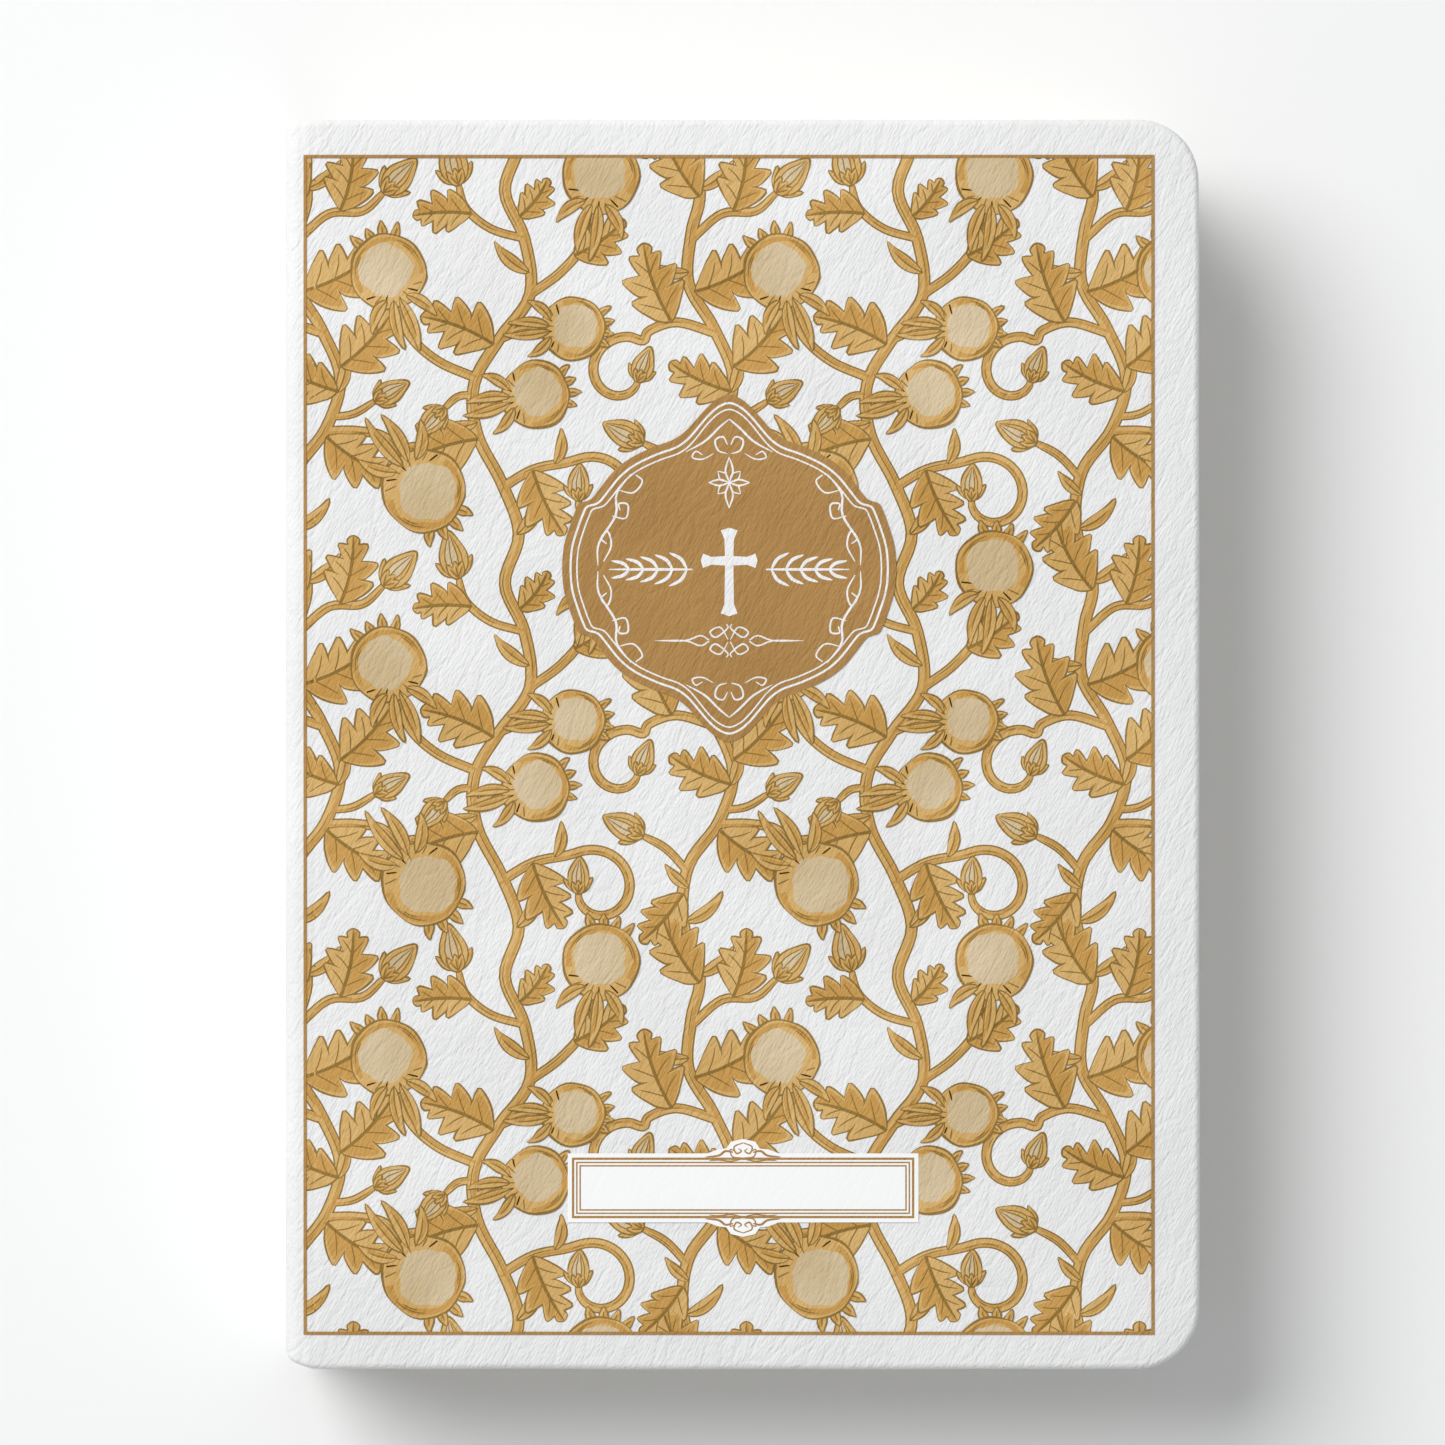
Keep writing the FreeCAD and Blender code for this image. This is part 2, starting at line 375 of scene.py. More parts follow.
def patch(ink, level, outline):
    """A flat shape of one ink, cut into triangles."""
    loop = [Vector(p) for p in outline]
    edges = [(i, (i + 1) % len(loop)) for i in range(len(loop))]
    spots, _, parts, _, _, _ = geometry.delaunay_2d_cdt(loop, edges, [], 0, 1e-4, False)
    kept = [part for part in parts if encloses(loop, sum((spots[i] for i in part), Vector((0, 0))) / 3)]
    films[ink].append((level, [tuple(p) for p in spots], kept))


def line(ink, level, curve, width, tips=(1.0, 1.0), shift=0.0):
    """A drawn line whose width swells in the middle and narrows to its two tips."""
    left, right = [], []
    for i, point in enumerate(curve):
        t = i / (len(curve) - 1)
        end = tips[0] * (1 - t) + tips[1] * t
        across = side_of(curve, i)
        half = 0.5 * width * (end + (1 - end) * math.sin(math.pi * t) ** 0.6)
        left.append(tuple(point + across * (half + shift)))
        right.append(tuple(point + across * (shift - half)))
    n = len(curve)
    films[ink].append((level, right + left, [(i, i + 1, n + i + 1, n + i) for i in range(n - 1)]))


def bent_axis(foot, angle, length, bend, count=12):
    """A midrib: a curve from a foot that turns evenly by the given degrees over its length."""
    curve = [Vector(foot)]
    for i in range(count):
        curve.append(curve[-1] + polar(length / count, angle + bend * (i + 0.5) / count))
    return curve


def about_axis(axis, t, offset):
    """The place at a share t along an axis and a distance to its left."""
    at = t * (len(axis) - 1)
    i = min(int(at), len(axis) - 2)
    spot = axis[i].lerp(axis[i + 1], at - i)
    return spot + side_of(axis, i) * offset


def blade(foot, angle, length, width, bend=25, level=4):
    """A narrow pointed leaf or sepal with one vein."""
    axis = bent_axis(foot, angle, length, bend, 8)
    edge = [0.0, 0.3, 0.44, 0.5, 0.49, 0.42, 0.3, 0.16, 0.0]
    left = [about_axis(axis, i / 8, width * e) for i, e in enumerate(edge)]
    right = [about_axis(axis, i / 8, -width * e) for i, e in enumerate(edge)][-2:0:-1]
    outline = smooth(left + right, 2, closed=True)
    patch("line_ink", level, spread(outline, 0.23, 0.6))
    patch("fill_ink", level + 1, outline)
    line("shade_ink", level + 2, [about_axis(axis, i / 8, -width * 0.2) for i in range(1, 8)],
         width * 0.34, (0.2, 0.1))
    line("line_ink", level + 3, axis[:7], 0.28, (1.0, 0.2))


def lobed_leaf(foot, angle, length, bend=20, level=8):
    """A broad leaf with pointed lobes, darker on one side of its midrib."""
    axis = bent_axis(foot, angle, length, bend, 12)
    half = 0.3 * length
    lobes = [(0.36, 0.96), (0.61, 0.94), (0.83, 0.56)]

    def margin(side):
        edge = [about_axis(axis, 0.02, 0), about_axis(axis, 0.10, side * half * 0.42)]
        for tip, reach in lobes:
            grow = 1 + hand.uniform(-0.12, 0.12)
            edge.append(about_axis(axis, tip - 0.17, side * half * reach * 0.74 * grow))
            edge.append(about_axis(axis, tip - 0.05, side * half * reach * 1.06 * grow))
            edge.append(about_axis(axis, tip + 0.05, side * half * reach * 1.18 * grow))
            edge.append(about_axis(axis, tip + 0.04, side * half * reach * 0.42 * grow))
        edge += [about_axis(axis, 0.95, side * half * 0.26), about_axis(axis, 1.0, 0)]
        return edge
    left, right = margin(1), margin(-1)
    outline = smooth(left + right[-2:0:-1], 3, closed=True)
    patch("line_ink", level, spread(outline, 0.26, 0.5))
    patch("fill_ink", level + 1, outline)
    inner = [p.lerp(about_axis(axis, i / (len(right) - 1), 0), 0.16) for i, p in enumerate(right)]
    spine = [about_axis(axis, i / 11, 0) for i in range(12)]
    patch("shade_ink", level + 2, smooth(inner, 2) + spine[::-1])
    line("line_ink", level + 3, axis, 0.62, (1.0, 0.15))
    for side in (1, -1):
        for tip, reach in lobes:
            vein = [about_axis(axis, tip - back, side * half * reach * out)
                    for back, out in ((0.2, 0), (0.09, 0.42), (0, 0.86))]
            line("line_ink", level + 3, smooth(vein, 3), 0.24, (1.0, 0.3))


def bud(foot, angle, length=8.0, level=14):
    """A closed flower: a drop-shaped bud with pale petals, held by three small sepals."""
    width = length * 0.29
    axis = bent_axis(foot, angle, length, hand.uniform(-8, 8), 8)
    for turn, long in ((-62, 0.56), (62, 0.56), (-26, 0.5), (28, 0.46)):
        blade(foot, angle + turn, length * long, length * 0.16, -turn * 0.5, level)
    edge = [0.35, 0.78, 0.98, 1.0, 0.86, 0.6, 0.3, 0.0]
    places = [0.0, 0.14, 0.3, 0.46, 0.62, 0.78, 0.92, 1.06]
    left = [about_axis(axis, min(t, 1), width * e) for t, e in zip(places, edge)]
    right = [about_axis(axis, min(t, 1), -width * e) for t, e in zip(places, edge)][-2::-1]
    outline = smooth(left + right, 3, closed=True)
    patch("line_ink", level + 4, spread(outline, 0.25, 0.6))
    patch("fill_ink", level + 5, outline)
    glow = smooth([about_axis(axis, t, width * o) for t, o in (
        (0.22, 0.1), (0.34, 0.62), (0.6, 0.5), (0.88, 0.05), (0.6, -0.16), (0.34, -0.22))], 3, closed=True)
    patch("glow_ink", level + 6, glow)
    for lean in (-0.62, -0.3, 0.22, 0.66):
        rib = smooth([about_axis(axis, 0.06, width * lean * 0.6), about_axis(axis, 0.45, width * lean),
                      about_axis(axis, 0.94, width * lean * 0.12)], 3)
        line("line_ink", level + 7, rib, 0.22, (1.0, 0.2))
    for turn in (-34, 0, 36):
        blade(Vector(foot) - polar(0.3, angle), angle + turn, length * 0.36, length * 0.15,
              -turn * 0.4, level + 8)


def pomegranate(centre, radius, stalk, level=30):
    """A round fruit: tall sepals where the stem joins it, and a short torn crown at the far end."""
    centre = Vector(centre)
    for turn in (-24, -8, 8, 24):
        blade(centre + polar(radius * 0.86, stalk + 180 + turn), stalk + 180 + turn * 2.0,
              radius * hand.uniform(0.42, 0.58), radius * 0.2, -turn, level)
    phase = hand.uniform(0, 6.28)
    rim = [centre + polar(radius * (1 + 0.022 * math.cos(math.radians(3 * a) + phase)
                                    + 0.012 * math.cos(math.radians(7 * a))), a)
           for a in range(0, 360, 8)]
    patch("line_ink", level + 4, spread(rim, 0.34, 0.7))
    patch("fill_ink", level + 5, rim)
    low = stalk + 180
    crescent = [centre + polar(radius * 0.96, low + a) for a in range(-110, 111, 11)]
    crescent += [centre + polar(radius * (0.82 - 0.04 * math.sin(math.radians(5 * a) + phase)), low + a)
                 for a in range(110, -111, -11)]
    patch("shade_ink", level + 6, crescent)
    heart = centre + polar(radius * 0.1, low + 40)
    glow = [heart + polar(radius * (0.72 + 0.035 * math.sin(math.radians(4 * a) + phase)
                                    + 0.02 * math.sin(math.radians(9 * a))), a) for a in range(0, 360, 9)]
    patch("glow_ink", level + 7, glow)
    for a in range(-56, 57, 16):
        start = centre + polar(radius * 0.95, stalk + a)
        stop = centre + polar(radius * hand.uniform(0.62, 0.76), stalk + a * 0.8)
        line("line_ink", level + 8, smooth([start, (start + stop) / 2, stop], 3), 0.24, (1.0, 0.2))
        if a % 32 == 8:
            line("shade_ink", level + 8, smooth([start, stop], 3), 0.5, (0.6, 0.2))
    for reach, start, stop in ((0.90, 96, 150), (0.84, 108, 136), (0.90, 205, 262), (0.85, 222, 246)):
        arc = [centre + polar(radius * reach, stalk + start + (stop - start) * i / 9) for i in range(10)]
        line("line_ink", level + 8, arc, 0.24, (0.2, 0.2))
    for turn, long, bend in ((-64, 0.98, 46), (-20, 1.35, 30), (16, 1.5, -26), (60, 1.0, -44)):
        blade(centre + polar(radius * 0.80, stalk + turn * 0.34), stalk + turn, radius * long,
              radius * 0.27, bend, level + 9)


def stem(points, width=1.5, taper=0.8, repeats=False):
    """A vine with a dark outline, a shaded dark side printed in the darker shade ink, and a few broken
    strokes along it. Where it repeats, its first and last points only steer it, so that each copy starts
    where one ends."""
    curve = smooth(points, 6)
    if repeats:
        curve = curve[6:-6]
    line("line_ink", 0, curve, width + 0.54, (1.0, taper))
    line("fill_ink", 1, curve, width, (1.0, taper))
    # The shaded dark side: shading printed along one side of the stem in the darker shade ink.
    line("shade_ink", 2, curve, width * 0.42, (0.8, taper * 0.6), -width * 0.22)
    at = hand.randrange(2, 6)
    while at < len(curve) - 6:
        run = hand.randrange(5, 9)
        shift = hand.uniform(-0.22, 0.26) * width
        line("line_ink", 3, curve[at:at + run], 0.2, (0.2, 0.2), shift)
        at += run + hand.randrange(0, 4)
    heading = curve[-1] - curve[-2]
    return curve[-1], math.degrees(math.atan2(heading.y, heading.x))


def curl(centre, radius, start, turn, ends=0.45, count=26):
    """Points of a stem's curl: an arc that tightens as it winds in."""
    shares = [i / (count - 1) for i in range(0, count, 2)]
    return [Vector(centre) + polar(radius * (1 - (1 - ends) * share), start + turn * share)
            for share in shares]


# The vine's two rising stems, their branches and curls, and what grows on them, in one repeat.
for rise in ([(17.5, 3), (14.5, 12), (10, 21), (9.5, 30), (14, 38), (19.5, 46), (18.5, 56), (15, 64.6)],
             [(47, 4), (48, 14), (53.5, 22), (56, 31), (52.5, 40), (48, 48), (48.5, 57), (50, 64.6)]):
    (x0, y0), (x1, y1) = rise[0], rise[1]
    stem([(rise[-1][0], rise[-1][1] - REPEAT)] + rise + [(x0, y0 + REPEAT), (x1, y1 + REPEAT)], 1.7, 1, True)
for route, width, long in (
        ([(14, 11), (20, 14.5), (26, 15.8)] + curl((31.5, 9.6), 7.4, 104, -290, 0.42), 1.35, 6.2),
        ([(53, 39), (46, 41), (41, 39.5)] + curl((36.2, 31.8), 7.0, 58, 290, 0.4), 1.35, 6.2),
        ([(18.6, 56), (12.5, 57.8), (8, 61.5), (6.6, 66)], 1.1, 8.2),
        ([(48.6, 56), (54, 60.5), (60, 61), (64, 64.5)], 1.2, 8.0),
        ([(48.2, 12.5), (44, 17), (39.5, 19.5)], 1.1, 7.6),
        ([(54.5, 24), (58.5, 24.6), (62.5, 27)], 1.0, 6.6),
        ([(9.6, 28), (6.5, 27.6), (4, 25.4)], 1.0, 6.4)):
    bud(*stem(route, width, 0.6), long)
for route, radius in (
        ([(19.5, 46), (25, 50), (29.6, 55.5), (31, 61)], 6.7),
        ([(9.8, 31), (3, 34), (-2, 38.5), (-4, 44)], 6.6),
        ([(54, 21.5), (59, 21.5), (64, 20.4), (67, 16.5)], 7.3),
        ([(14, 38), (18, 39.6), (22, 39.8)], 5.5),
        ([(9.6, 25), (12.5, 26.2), (15, 26.8)], 5.9)):
    end, heading = stem(route, 1.3, 0.8)
    pomegranate(end + polar(radius * 0.96, heading), radius, heading + 180)
for foot, angle, long, bend in (
        ((20, 14.5), -74, 13, 20), ((10.2, 20), 186, 14.5, 26), ((49, 46.5), 14, 15.5, 28),
        ((56, 33), 34, 14.0, 26), ((45, 41), 122, 15.0, -24), ((13, 37), 146, 14, 26),
        ((50, 63.5), 132, 14, -26), ((9, 60.5), 172, 10.5, 20), ((47, 9), 240, 11.5, -22),
        ((53.5, 20.5), -44, 14, 26), ((27.4, 53), 22, 11, 26), ((56, 61), 66, 12.5, 26),
        ((17.6, 60), 38, 8.5, 30), ((55.6, 28.6), 166, 12.0, -22)):
    lobed_leaf(foot, angle, long, bend)
for foot, angle, long, wide, bend in (
        ((17.3, 3), 40, 8.5, 2.2, 40), ((10, 23), 205, 7, 1.8, -50), ((55.6, 28.5), 60, 7.5, 2.0, 40),
        ((48, 50), 190, 8.5, 2.1, -40), ((47.6, 4), 14, 8.5, 2.1, 50), ((19.3, 50), 158, 8.5, 2.1, -40),
        ((24, 15.6), 60, 6.5, 1.8, 40), ((50, 65), 20, 8.0, 2.0, 40), ((34, 38.5), 128, 7.5, 2.0, 40),
        ((48, 10), 150, 6.0, 1.6, -30)):
    blade(foot, angle, long, wide, bend)


PANEL_LEFT, PANEL_RIGHT = -78.4 * MM, 73.9 * MM
PANEL_FOOT, PANEL_HEAD = -105.9 * MM, 105.5 * MM
BORDER = 0.55 * MM
REPEAT_START = Vector((-57.5, -106.5))


def on_panel(place):
    """Whether a place, in millimetres, lies on the printed panel or just beside it."""
    return (PANEL_LEFT / MM - 1 < place.x < PANEL_RIGHT / MM + 1
            and PANEL_FOOT / MM - 1 < place.y < PANEL_HEAD / MM + 1)


def print_film(name, ink, material, copies=((0, 0),), trimmed=False):
    """Lays one ink on the cover as thin films, one for each level, that follow the leather's dip at
    the joint. The shapes of a level run together, so that no two faces lie in one plane."""
    shapes = []
    for level, shape, shape_faces in films[ink]:
        corners = [Vector(p) for p in shape]
        triangles = []
        for face in shape_faces:
            for a, b, c in geometry.tessellate_polygon([[corners[i] for i in face]]):
                a, b, c = face[a], face[b], face[c]
                turn = (corners[b] - corners[a]).cross(corners[c] - corners[a])
                if abs(turn) > 1e-3:
                    triangles.append((a, b, c) if turn > 0 else (a, c, b))
        shapes.append((level, corners, triangles))
    mesh = bpy.data.meshes.new(name)
    points, faces = [], []
    for level in sorted({level for level, corners, triangles in shapes}):
        flat, drawn = [], []
        for across, up in copies:
            for shape_level, corners, triangles in shapes:
                moved = [corner + Vector((across, up)) for corner in corners]
                if shape_level == level and (not trimmed or any(on_panel(p) for p in moved)):
                    drawn += [[len(flat) + i for i in triangle] for triangle in triangles]
                    flat += moved
        if drawn:
            spots, _, parts, _, _, sources = geometry.delaunay_2d_cdt(flat, [], drawn, 0, 1e-4, True)
            for part, source in zip(parts, sources):
                middle = sum((spots[i] for i in part), Vector((0, 0))) / 3
                over = ([flat[i] for i in drawn[s]] for s in source)
                if any(geometry.intersect_point_tri_2d(middle, *triangle) for triangle in over):
                    faces.append([len(points) + i for i in part])
            height = BOOK_TOP + PRINT_LIFT + level * FILM
            points += [(p.x * MM, p.y * MM, height) for p in spots]
    mesh.from_pydata(points, [], faces)
    film = bpy.data.objects.new(name, mesh)
    bpy.context.scene.collection.objects.link(film)
    pick(film, "FACE", lambda face: True)
    if trimmed:
        for spot, normal in (((PANEL_LEFT, 0, 0), (-1, 0, 0)), ((PANEL_RIGHT, 0, 0), (1, 0, 0)),
                             ((0, PANEL_FOOT, 0), (0, -1, 0)), ((0, PANEL_HEAD, 0), (0, 1, 0))):
            bpy.ops.mesh.select_all(action="SELECT")
            bpy.ops.mesh.bisect(plane_co=spot, plane_no=normal, clear_outer=True)
    for place in steps(PANEL_LEFT, PLATE_X + 0.6 * MM, 0.5 * MM):
        bpy.ops.mesh.select_all(action="SELECT")
        bpy.ops.mesh.bisect(plane_co=(place, 0, 0), plane_no=(1, 0, 0))
    pick(film, "FACE", lambda face: face.normal.z < 0)
    bpy.ops.mesh.flip_normals()
    activate(film)
    for point in film.data.vertices:
        point.co.z -= case_dip(point.co.x)
    film.data.materials.append(material)
    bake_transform(film)
    return film


ochre_line = leather_like("ochre_line_ink", (0.25, 0.138, 0.022), (0.33, 0.188, 0.034), 0.55)
ochre_fill = leather_like("ochre_fill_ink", (0.62, 0.375, 0.115), (0.72, 0.465, 0.175), 0.55)
ochre_shade = leather_like("ochre_shade_ink", (0.54, 0.29, 0.062), (0.62, 0.345, 0.09), 0.55)
pale_glow = leather_like("pale_glow_ink", (0.60, 0.46, 0.26), (0.72, 0.58, 0.38), 0.55)
copies = [(REPEAT_START.x + REPEAT * i, REPEAT_START.y + REPEAT * j)
          for i in range(-1, 3) for j in range(-1, 4)]
print_film("vine_lines", "line_ink", ochre_line, copies, trimmed=True)
print_film("vine_fills", "fill_ink", ochre_fill, copies, trimmed=True)
print_film("vine_shading", "shade_ink", ochre_shade, copies, trimmed=True)
print_film("vine_highlights", "glow_ink", pale_glow, copies, trimmed=True)

# ---- the border ----------------------------------------------------------------------------------
# One thin line of the badge's darker gold ink, printed round the vine panel.
badge_ink = leather_like("badge_gold_ink", (0.40, 0.215, 0.06), (0.44, 0.24, 0.07), 0.5)
films["border_ink"] = []


def ring(ink, level, centre, wide, high, width):
    """A rectangle drawn as one line, with square corners, in millimetres."""
    centre = Vector(centre)
    outer = [centre + Vector((x * wide / 2, y * high / 2)) for x, y in ((-1, -1), (1, -1), (1, 1), (-1, 1))]
    inner = [centre + Vector((x * (wide / 2 - width), y * (high / 2 - width)))
             for x, y in ((-1, -1), (1, -1), (1, 1), (-1, 1))]
    sides = [(i, (i + 1) % 4, (i + 1) % 4 + 4, i + 4) for i in range(4)]
    films[ink].append((level, [tuple(p) for p in outer + inner], sides))


ring("border_ink", 43, ((PANEL_LEFT + PANEL_RIGHT) / 2 / MM, (PANEL_FOOT + PANEL_HEAD) / 2 / MM),
     (PANEL_RIGHT - PANEL_LEFT + BORDER) / MM, (PANEL_HEAD - PANEL_FOOT + BORDER) / MM, BORDER / MM)
print_film("panel_border", "border_ink", badge_ink)

# ---- the badge -----------------------------------------------------------------------------------
# A scalloped label of solid gold ink over the vine, with ornament in white: two lines that follow
# its edge, scrolls, a star, a plain cross between two sprigs, and a divider.
BADGE = Vector((-2.2, 31.5))
films["badge_ink"], films["badge_white_ink"] = [], []
WHITE = "badge_white_ink"


# One quarter of its outline, as angles and radii: a broad lobe at the side, a shoulder, a soft
# hollow and a drawn-out point at the head and the foot.
quarter = [polar(reach, angle) for angle, reach in (
    (0, 30.0), (8, 29.95), (16, 29.6), (20.5, 29.5), (23.5, 29.3), (26.5, 27.8), (32, 27.3), (40, 27.1),
    (48, 26.6), (58, 25.7), (66, 25.2), (72, 25.8), (77, 27.2), (82, 29.1), (86, 30.5), (90, 31.2))]
upper = quarter + [Vector((-p.x, p.y)) for p in quarter[-2::-1]]
badge_edge = smooth(upper + [Vector((p.x, -p.y)) for p in upper[-2:0:-1]], 3, closed=True)
patch("badge_ink", 46, [BADGE + p for p in badge_edge])
for inset, width in ((1.5, 0.38), (2.65, 0.27)):
    line(WHITE, 48, [BADGE + p * (1 - inset / p.length) for p in badge_edge + badge_edge[:2]], width)


def mirrored(stroke, width, tips, sides=((1, 1), (-1, 1), (1, -1), (-1, -1)), centre=BADGE):
    """The same white stroke drawn in each of the given quarters round a centre."""
    for across, up in sides:
        line(WHITE, 48, [centre + Vector((p.x * across, p.y * up)) for p in smooth(stroke, 5)], width, tips)


mirrored([(23.6, 0.5), (23.4, 4.5), (20.4, 9.5), (20.2, 13.4), (17.6, 17.0)], 0.42, (0.3, 0.3))
mirrored([(22.6, 1.2), (21.2, 4.0), (21.8, 6.6), (23.0, 5.4), (22.0, 4.4)], 0.34, (0.5, 0.6))
mirrored([(21.0, 9.4), (18.6, 9.0), (18.2, 11.4), (19.8, 11.6), (19.6, 10.4)], 0.34, (0.5, 0.6))
mirrored([(19.8, 14.0), (17.2, 13.6), (15.6, 15.6), (16.8, 16.8)], 0.32, (0.3, 0.5))
mirrored([(0, 26.8), (1.9, 25.2), (4.4, 22.8), (7.8, 20.9)], 0.4, (0.4, 0.2))
mirrored([(0.4, 20.6), (2.0, 21.2), (2.5, 23.0), (1.1, 23.6), (0.3, 22.2)], 0.34, (0.4, 0.4))
mirrored([(2.8, 20.6), (4.8, 19.6), (6.6, 19.9), (6.0, 21.0), (4.8, 20.4)], 0.3, (0.3, 0.5))

star = BADGE + Vector((0, 15.4))
for angle in range(0, 360, 90):
    reach = 4.6 if angle % 180 else 3.7
    for side in (1, -1):
        petal = [star, star + polar(reach * 0.5, angle + 17 * side), star + polar(reach, angle)]
        line(WHITE, 48, smooth(petal, 5), 0.34, (0.4, 0.3))
        tuft = [star, star + polar(1.7, angle + 45 + 24 * side), star + polar(2.9, angle + 45)]
        line(WHITE, 48, smooth(tuft, 4), 0.26, (0.4, 0.3))

# The cross has flared ends, and a leafy sprig lies at each side of it.
half_cross = [(1.5, -9.3), (0.85, -7.6), (0.75, -0.7), (3.2, -0.55), (4.7, -1.15), (5.1, 0.15),
              (4.7, 1.45), (3.2, 0.85), (0.75, 1.0), (0.85, 4.0), (1.5, 5.6), (0, 6.1)]
cross_at = BADGE + Vector((0, 1.2))
patch(WHITE, 48, [cross_at + Vector(p) for p in half_cross]
      + [cross_at + Vector((-x, y)) for x, y in half_cross[-2::-1]] + [cross_at + Vector((0, -9.8))])
beside = BADGE + Vector((0, -0.2))
mirrored([(6.6, 0.05), (13.0, 0.1), (21.6, 0.05)], 0.3, (0.5, 0.2), centre=beside)
for at in range(5):
    foot = 7.6 + 2.6 * at
    mirrored([(foot, 0.1), (foot + 1.1, 1.9 - 0.2 * at), (foot + 3.2, 3.0 - 0.36 * at)], 0.62, (0.4, 0.15),
             centre=beside)

divider = BADGE + Vector((0, -13.0))
mirrored([(13.4, 0), (8.0, 0.0), (5.2, 0.9), (3.6, 0.1)], 0.28, (0.2, 0.8), centre=divider)
mirrored([(0.2, 0.2), (1.6, 2.4), (3.4, 1.6), (2.4, 0.6), (0.3, 2.2), (0.5, 3.0)], 0.3, (0.5, 0.5),
         centre=divider)
print_film("badge_label", "badge_ink", badge_ink)
badge_white = leather_like("badge_white_ink", (0.86, 0.86, 0.85), (0.9, 0.9, 0.89), 0.5)
print_film("badge_ornament", WHITE, badge_white)

# ---- the nameplate -------------------------------------------------------------------------------
# A blank white label near the tail for the owner's name, framed by three thin gold lines with a
# small scroll at the middle of its head and its foot.
PLATE_AT = Vector((0.3, -79.8))
PLATE_WIDE, PLATE_HIGH = 63.0, 12.4
films["plate_white_ink"], films["plate_gold_ink"] = [], []
half_wide, half_high = PLATE_WIDE / 2, PLATE_HIGH / 2
upper_edge = [(half_wide, half_high), (6.4, half_high), (4.6, half_high + 0.7), (3.0, half_high + 0.9),
              (2.2, half_high + 2.1), (0, half_high + 2.6)]
plate_edge = upper_edge + [(-x, y) for x, y in upper_edge[-2::-1]]
plate_edge += [(-x, -y) for x, y in plate_edge[:-1]] + [(-plate_edge[-1][0], -plate_edge[-1][1])]
patch("plate_white_ink", 46, [PLATE_AT + Vector(p) for p in plate_edge])
for inset, width in ((0.75, 0.42), (1.5, 0.27), (2.1, 0.27)):
    ring("plate_gold_ink", 48, PLATE_AT, PLATE_WIDE - 2 * inset, PLATE_HIGH - 2 * inset, width)
for across, up in ((1, 1), (-1, 1), (1, -1), (-1, -1)):
    for stroke, width in (([(0, 2.0), (1.6, 1.3), (1.2, 0.1), (0.3, 0.5), (0.9, 1.0)], 0.3),
                          ([(0.2, -0.7), (1.9, -0.5), (2.3, 0.8), (1.3, 0.4)], 0.26),
                          ([(1.8, 0.3), (3.2, 0.5), (4.4, -0.3), (6.8, -0.55)], 0.42),
                          ([(0, -0.9), (2.2, -1.3), (4.4, -1.1), (6.2, -1.25)], 0.26)):
        curve = [Vector((p.x * across, (p.y + half_high - 0.1) * up)) for p in smooth(stroke, 4)]
        line("plate_gold_ink", 50, [PLATE_AT + p for p in curve], width, (0.5, 0.2))
plate_white = leather_like("plate_white_ink", (0.985, 0.985, 0.98), (0.995, 0.995, 0.99), 0.5, 0.02 * MM)
print_film("nameplate_label", "plate_white_ink", plate_white)
print_film("nameplate_frame", "plate_gold_ink", badge_ink)

# ---- the finishes of the text block --------------------------------------------------------------
# Uncoated ivory paper throughout. On the cut edges the leaves show as fine lines that run with the
# sheets, and the two pages at the middle of the book carry two columns and a ruled margin.


def fibrous(name, colour, spread_of_tone, scale, depth, roughness=0.85, stretch=(1, 1, 1)):
    """A matte finish of paper, card or cloth: uneven tone and fine raised fibres."""
    material = bpy.data.materials.new(name)
    tree, shader, add = node_tree(material)
    place = add("TexCoord")
    run = add("Mapping", [("Vector", place.outputs["Object"])], Scale=stretch)
    fibre = add("TexNoise", [("Vector", run.outputs["Vector"])], Scale=scale, Detail=5, Roughness=0.65)
    tone = add("ValToRGB", [("Fac", fibre.outputs["Fac"])])
    tone.color_ramp.elements[0].position, tone.color_ramp.elements[1].position = 0.3, 0.7
    tone.color_ramp.elements[0].color = (*[c * (1 - spread_of_tone) for c in colour], 1)
    tone.color_ramp.elements[1].color = (*colour, 1)
    tree.links.new(tone.outputs["Color"], shader.inputs["Base Color"])
    bump = add("Bump", [("Height", fibre.outputs["Fac"])], Strength=0.8, Distance=depth)
    tree.links.new(bump.outputs["Normal"], shader.inputs["Normal"])
    shader.inputs["Roughness"].default_value = roughness
    shader.inputs["Specular IOR Level"].default_value = 0.25
    return material


def leaf_edges(name):
    """The cut edge of many leaves: thin light and dark lines along the sheets."""
    material = bpy.data.materials.new(name)
    tree, shader, add = node_tree(material)
    place = add("UVMap", uv_map="sheet")
    long_run = add("Mapping", [("Vector", place.outputs["UV"])], Scale=(12, 9000, 1))
    leaves = add("TexNoise", [("Vector", long_run.outputs["Vector"])], Scale=1, Detail=3, Roughness=0.7)
    tone = add("ValToRGB", [("Fac", leaves.outputs["Fac"])])
    tone.color_ramp.elements[0].position, tone.color_ramp.elements[1].position = 0.32, 0.6
    tone.color_ramp.elements[0].color = (0.50, 0.45, 0.36, 1)
    tone.color_ramp.elements[1].color = (0.83, 0.79, 0.69, 1)
    tree.links.new(tone.outputs["Color"], shader.inputs["Base Color"])
    bump = add("Bump", [("Height", leaves.outputs["Fac"])], Strength=0.9, Distance=0.08 * MM)
    tree.links.new(bump.outputs["Normal"], shader.inputs["Normal"])
    shader.inputs["Roughness"].default_value = 0.85
    return material


def between(add, value, low, high):
    """1 where a value lies between two numbers, else 0."""
    above = maths(add, "GREATER_THAN", value, low)
    return maths(add, "MULTIPLY", above, maths(add, "LESS_THAN", value, high))


